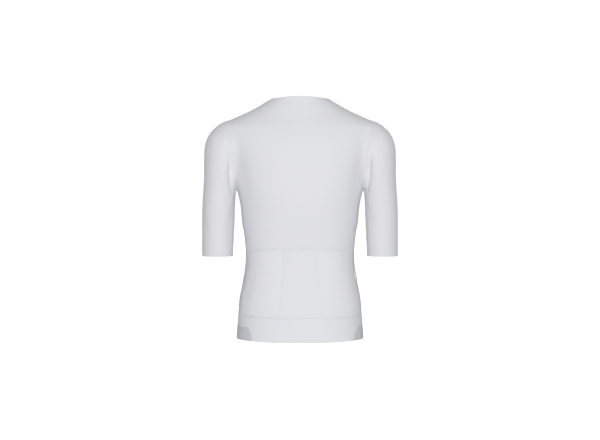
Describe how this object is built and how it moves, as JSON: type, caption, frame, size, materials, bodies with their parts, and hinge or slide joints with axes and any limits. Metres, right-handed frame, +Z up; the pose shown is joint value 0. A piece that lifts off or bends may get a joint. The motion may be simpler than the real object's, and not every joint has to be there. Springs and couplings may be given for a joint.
{
  "type": "cycling jersey",
  "caption": "Short-sleeved race-fit cycling jersey with a full front zip, a low collar, elbow-length sleeves, rear pockets and a gripper hem, filled out in its worn shape.",
  "frame": {"origin": "between the shoulders at the base of the neck, where a wearer carries the jersey", "axes": "+Z up, +Y towards the jersey's back, +X towards the wearer's left"},
  "size_m": [0.5148, 0.2325, 0.6383],
  "materials": {
    "knit": "fine white polyester and elastane knit, matt",
    "side_knit": "open white mesh knit, matt",
    "elastic_band": "white elastic knit, dense, matt",
    "label_weave": "white woven tape, blank",
    "zip_tape_weave": "white woven zip tape",
    "coil_plastic": "white nylon coil",
    "slider_metal": "satin plated zinc",
    "pull_plastic": "white moulded plastic"
  },
  "bodies": {
    "jersey": {"back_panel": "knit", "front_panel_left": "knit", "front_panel_right": "knit", "side_panel_left": "side_knit", "side_panel_right": "side_knit", "sleeve_left": "knit", "sleeve_right": "knit", "collar": "knit", "pocket_left": "knit", "pocket_middle": "knit", "pocket_right": "knit", "back_hem_band": "elastic_band", "hem_gripper_left": "elastic_band", "hem_gripper_right": "elastic_band", "side_tab": "label_weave", "zip_tape_left": "zip_tape_weave", "zip_tape_right": "zip_tape_weave", "zip_coil": "coil_plastic", "zip_slider": "slider_metal"},
    "pull": {"zip_pull": "pull_plastic"}
  },
  "joints": [
    {"name": "pull_hinge", "type": "hinge", "parent": "jersey", "child": "pull", "pos_m": [0, -0.07694, -0.04597], "axis": [-1, 0, 0], "range_deg": [0, 165]}
  ]
}
